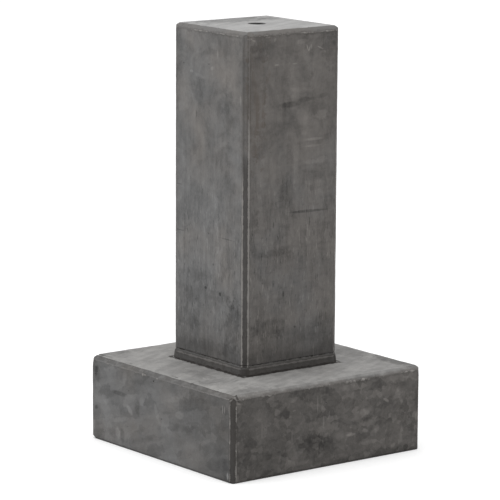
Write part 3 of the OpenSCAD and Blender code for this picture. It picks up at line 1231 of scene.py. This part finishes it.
def caught_dirt_and_shade(r, m, form, finish, colour):
    """Dirt low on the shaft, on the collar and the corner chamfers; soiling and painted shade in the groove,
    on the foot's left top edge and at its bottom; painted shade under the collar; and the socket painted
    black as shade
    """
    wavy = r.plus(m.height, r.times(r.about_half(m.fray), 0.05))
    low_dirt = r.times(r.blur(wavy, m.base + 5 * MM, m.base + 85 * MM, 0.52, 0.0), m.on_shaft)
    collar_dirt = r.times(m.on_collar, r.blur(m.fray, 0.3, 0.7, 0.80, 0.55))
    # Soiling and painted shade: a dark line just above the ledge, in the corner where the shaft meets it
    groove = r.times(
        r.blur(m.height, m.ledge - 0.5 * MM, m.ledge + 0.5 * MM),
        r.blur(m.height, m.ledge + 1.5 * MM, m.ledge + 5 * MM, 1.0, 0.0),
        r.blur(m.fray, 0.35, 0.6, 0.35, 0.95),
    )
    # Painted shade: a dark line where the collar meets the foot's top
    wires = {
        "First": m.out, "Second": m.height, "Line First": m.hs + form.collar_out, "Line Second": m.base,
        "Width": 0.0042, "Fray": m.fray,
    }
    collar_foot_shade = r.use(m.line, wires)["Mask"]

    from_axis = r.sum("SQRT", r.plus(r.times(m.out, m.out), r.times(m.across, m.across)))
    ragged_reach = r.plus(from_axis, r.times(m.fray, 0.003))
    above_foot = r.blur(m.height, m.base + 0.1, m.base + 0.2)
    bore = SOCKET["dims"]["r_mm"] * MM
    # Painted shade: the socket's mouth is darkened and its inside painted near black, where they lie in
    # shadow
    mouth = r.times(r.blur(ragged_reach, bore + 1 * MM, bore + 7 * MM, 0.9, 0.0), above_foot)
    hollow = r.times(r.blur(ragged_reach, bore + 1 * MM, bore + 5.5 * MM, 1.0, 0.0), above_foot)

    # Soiling and painted contact shade along the foot's bottom
    ragged_height = r.plus(m.height, r.times(r.about_half(m.fray), 0.005))
    bottom_dirt_and_shade = r.blur(ragged_height, 0.5 * MM, 4.5 * MM, 0.62, 0.0)
    # Soiling and painted shade on the foot's left top edge, darkened against the light it takes from above
    edge = m.base - form.chamfer
    on_foot_edge = r.times(
        r.blur(m.height, edge - 1 * MM, edge + 1 * MM),
        r.blur(m.height, m.base, m.base + 1 * MM, 1.0, 0.0),
    )
    edge_dirt_and_shade = r.times(m.left_edge, on_foot_edge, r.blur(m.middle, 0.4, 0.56, 0.05, 0.42))
    share = 0.0
    for mask in (low_dirt, collar_dirt, groove, collar_foot_shade, mouth, bottom_dirt_and_shade, edge_dirt_and_shade):
        share = r.sum("MAXIMUM", share, mask)
    colour = r.mix(share, colour, (*finish.dirt_and_shade, 1))
    colour = r.mix(hollow, colour, (*finish.hollow, 1))

    # the corner chamfers are darkest low on the shaft
    corner_dark = r.blur(r.plus(m.height, r.times(m.fray, 0.03)), 0.515, 0.545, 0.66, 0.18)
    return r.mix(r.times(m.corner, m.upright, corner_dark), colour, (*finish.dirt_and_shade, 1))


def rubbed_arrises(r, m, form, finish, colour):
    """Grime and painted shade beside the arrises, then the arrises worn pale, with painted highlights"""
    c = form.chamfer
    low_on_left = r.sum("MAXIMUM", m.front, r.blur(m.height, 0.46, 0.5, 0.9, 0.15))
    strong_below = r.blur(r.plus(m.height, r.times(m.middle, 0.1)), 0.60, 0.66, 1.0, 0.35)
    shaft_rub_and_highlight = r.times(m.on_shaft, low_on_left, strong_below)
    foot_rub_and_highlight = r.blur(m.middle, 0.38, 0.64, 0.15, 0.95)
    patchy = r.times(r.blur(m.fray, 0.4, 0.62, 0.1, 1.0), r.blur(m.middle, 0.4, 0.6, 0.15, 1.0))
    steady = r.plus(0.5, r.times(r.about_half(m.fray), 0.5))
    grime_and_shade, rubbed_and_highlit = 0.0, 0.0
    for first, second, a, b, wide, share, ragged in (
        (m.out, m.across, m.hs, m.hs - c, 0.0026, shaft_rub_and_highlight, steady),
        (m.out, m.across, m.half, m.half - c, 0.0017, foot_rub_and_highlight, m.fray),
        (m.out, m.height, m.hs, m.top - c, 0.0016, patchy, m.fray),
        (m.out, m.height, m.half, m.base - c, 0.0028, patchy, m.fray),
        (m.out, m.height, m.half, 0.0, 0.0, 0.0, m.fray),
        # Painted highlight: the ledge's edge catching the light
        (m.out, m.height, m.hs + 2 * MM, m.base + 12 * MM, 0.0020, 0.35, m.fray),
    ):
        wires = {"First": first, "Second": second, "Line First": a, "Line Second": b, "Fray": ragged}
        grime_and_shade = r.sum("MAXIMUM", grime_and_shade, r.use(m.line, {**wires, "Width": 0.0045})["Mask"])
        if wide:
            mask = r.use(m.line, {**wires, "Width": wide})["Mask"]
            rubbed_and_highlit = r.sum("MAXIMUM", rubbed_and_highlit, r.times(mask, share))
    # Grime, and painted shade where the worn, rounded arrises turn from the light
    colour = r.mix(r.times(grime_and_shade, 0.34), colour, (*finish.dirt_and_shade, 1))
    # Bare cement worn pale, and painted highlights along the arrises
    return r.mix(r.times(rubbed_and_highlit, 0.8), colour, (*finish.rubbed_and_highlit, 1))


def fine_relief(r, m):
    """Relief finer than the mesh, as a normal"""
    relief = 0.0
    for mask, strength, share in (
        (m.grain, 0.35, 1.0),
        (m.thin_runs, 0.07, 1.0),
        (m.flakes, 0.35, 1.0),
        (m.middle, 0.4, 1.0),
        (m.dark_ticks, -0.4, 1.0),
        (m.dabs, 0.8, m.foot_y),
        (m.tilted_dabs, 0.8, m.foot_x),
    ):
        relief = r.plus(relief, r.times(mask, strength, share))
    return r.put("Bump", {"Strength": 0.45, "Distance": 0.0008, "Height": relief}).outputs[0]


def concrete_material(form, finish, width, top):
    """Grey cast concrete: grain, run marks, blotches, marks, dust, soiling with painted shade, and arrises
    worn pale with painted highlights
    """
    material = bpy.data.materials.new("cast_concrete")
    material.use_nodes = True
    material.node_tree.nodes.clear()
    r = Recipe(material.node_tree)
    m = casting_masks(r, form, width, top)
    colour = cement_colour(r, m, finish, cement_tone(r, m))
    colour = settled_dust(r, m, finish, colour)
    colour = caught_dirt_and_shade(r, m, form, finish, colour)
    colour = rubbed_arrises(r, m, form, finish, colour)
    roughness = r.blur(r.plus(r.times(m.middle, 0.5), r.times(m.flakes, 0.3)), 0.1, 0.6, 0.60, 0.86)
    wires = {
        "Base Color": colour, "Roughness": roughness, "Normal": fine_relief(r, m),
        "Specular IOR Level": 0.35,
    }
    r.put("OutputMaterial", {"Surface": r.put("BsdfPrincipled", wires).outputs[0]})
    return material


# ---------------------------------------------------------------- operators


class PIER_OT_set_camera(bpy.types.Operator):
    """Set the camera at its place, level but for a slight roll"""

    bl_idname = "pier.set_camera"
    bl_label = "Set Camera"

    def execute(self, context):
        studio = context.scene.pier_studio
        turn, rise = studio.azimuth, studio.elevation
        back = Vector((math.sin(turn) * math.cos(rise), -math.cos(turn) * math.cos(rise), math.sin(rise)))
        right = Vector((math.cos(turn), math.sin(turn), 0))
        up = back.cross(right)
        lean = Matrix.Rotation(studio.roll, 3, back)
        aim = right * studio.aim_side + Vector((0, 0, studio.aim_height))
        basis = Matrix((lean @ right, lean @ up, back)).transposed()
        data = bpy.data.cameras.new("camera")
        data.lens = studio.lens
        data.sensor_width = 36
        camera = bpy.data.objects.new("camera", data)
        camera.matrix_world = Matrix.Translation(aim + back * studio.distance) @ basis.to_4x4()
        context.scene.collection.objects.link(camera)
        context.scene.camera = camera
        return {"FINISHED"}


class PIER_OT_cast_block(bpy.types.Operator):
    """Model the casting, wear it and give it its concrete"""

    bl_idname = "pier.cast_block"
    bl_label = "Cast Block"

    def execute(self, context):
        scene = context.scene
        form, wear = scene.pier_form, scene.pier_wear
        low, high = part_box(NODE)
        piece = cast_form(form, wear)
        strike_casting(piece, form, wear)
        wear_surfaces(piece, form, wear)
        make_active(piece)
        bpy.ops.object.shade_smooth_by_angle(angle=math.radians(SHARP_SHADE))
        piece.name = "concrete_casting"
        piece.data.name = piece.name
        piece.data.materials.clear()
        piece.data.materials.append(concrete_material(form, scene.pier_finish, high.x - low.x, high.z))
        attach(piece, "root")
        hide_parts(NODE)
        return {"FINISHED"}


class PIER_OT_set_stage(bpy.types.Operator):
    """Lay the pale floor and set up the soft lights"""

    bl_idname = "pier.set_stage"
    bl_label = "Set Stage"

    def execute(self, context):
        studio = context.scene.pier_studio
        deselect_everything()
        bpy.ops.mesh.primitive_circle_add(vertices=96, radius=FLOOR_RADIUS, fill_type="NGON")
        floor = context.object
        floor.name = "floor"
        paint = bpy.data.materials.new("pale_floor")
        paint.use_nodes = True
        paint.node_tree.nodes.clear()
        r = Recipe(paint.node_tree)
        # The floor glows white to the lens, so it holds only a faint shadow. It throws back less light than
        # that.
        lens = r.put("LightPath").outputs["Is Camera Ray"]
        white = r.mix(lens, (*[studio.bounce] * 3, 1), LENS_WHITE)
        wires = {
            "Base Color": white, "Roughness": 0.9, "Specular IOR Level": 0.1,
            "Emission Color": (1, 1, 1, 1), "Emission Strength": r.times(lens, LENS_GLOW),
        }
        r.put("OutputMaterial", {"Surface": r.put("BsdfPrincipled", wires).outputs[0]})
        floor.data.materials.append(paint)

        world = bpy.data.worlds.new("studio")
        world.use_nodes = True
        r = Recipe(world.node_tree)
        world.node_tree.nodes.clear()
        seen = r.put("LightPath").outputs["Is Camera Ray"]
        strength = r.blur(seen, 0.0, 1.0, studio.sky, 1.0)
        light = r.put("Background", {"Color": (1, 1, 1, 1), "Strength": strength})
        r.put("OutputWorld", {"Surface": light.outputs[0]})
        context.scene.world = world

        overhead = bpy.data.lights.new("overhead", "SUN")
        overhead.energy = studio.overhead
        overhead.angle = math.radians(50)
        context.scene.collection.objects.link(bpy.data.objects.new("overhead", overhead))
        self.softbox("left", (-2.7, 0.9, 1.7), 1.6, studio.side, (0.98, 0.99, 1))
        context.scene.view_settings.view_transform = "Standard"
        return {"FINISHED"}

    @staticmethod
    def softbox(name, place, size, power, colour):
        """A square area light that points at the middle of the block"""
        data = bpy.data.lights.new(name, "AREA")
        data.shape = "SQUARE"
        data.size = size
        data.energy = power
        data.color = colour
        light = bpy.data.objects.new(name, data)
        way = Vector((0, 0, 0.35)) - Vector(place)
        light.rotation_euler = way.to_track_quat("-Z", "Y").to_euler()
        light.location = place
        bpy.context.scene.collection.objects.link(light)


class PIER_PT_panel(bpy.types.Panel):
    """Buttons and sizes for the pier block"""

    bl_label = "Pier Block"
    bl_idname = "PIER_PT_panel"
    bl_space_type = "VIEW_3D"
    bl_region_type = "UI"
    bl_category = "Pier Block"

    def draw(self, context):
        layout = self.layout
        for operator in OPERATORS:
            layout.operator(operator.bl_idname)
        for name in SETTINGS:
            group = getattr(context.scene, name)
            box = layout.box()
            for setting in group.__annotations__:
                box.prop(group, setting)


OPERATORS = (PIER_OT_set_camera, PIER_OT_cast_block, PIER_OT_set_stage)
SETTINGS = {
    "pier_form": PierForm,
    "pier_wear": PierWear,
    "pier_finish": PierFinish,
    "pier_studio": PierStudio,
}


def register():
    """Adds the add-on's classes and settings"""
    for kind in (*SETTINGS.values(), *OPERATORS, PIER_PT_panel):
        bpy.utils.register_class(kind)
    for name, kind in SETTINGS.items():
        setattr(bpy.types.Scene, name, PointerProperty(type=kind))


def unregister():
    """Takes them away again"""
    for name in SETTINGS:
        delattr(bpy.types.Scene, name)
    for kind in reversed((*SETTINGS.values(), *OPERATORS, PIER_PT_panel)):
        bpy.utils.unregister_class(kind)


def main():
    """Sets the camera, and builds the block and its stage"""
    register()
    bpy.ops.pier.set_camera()
    bpy.ops.pier.cast_block()
    bpy.ops.pier.set_stage()


if __name__ == "__main__":
    main()
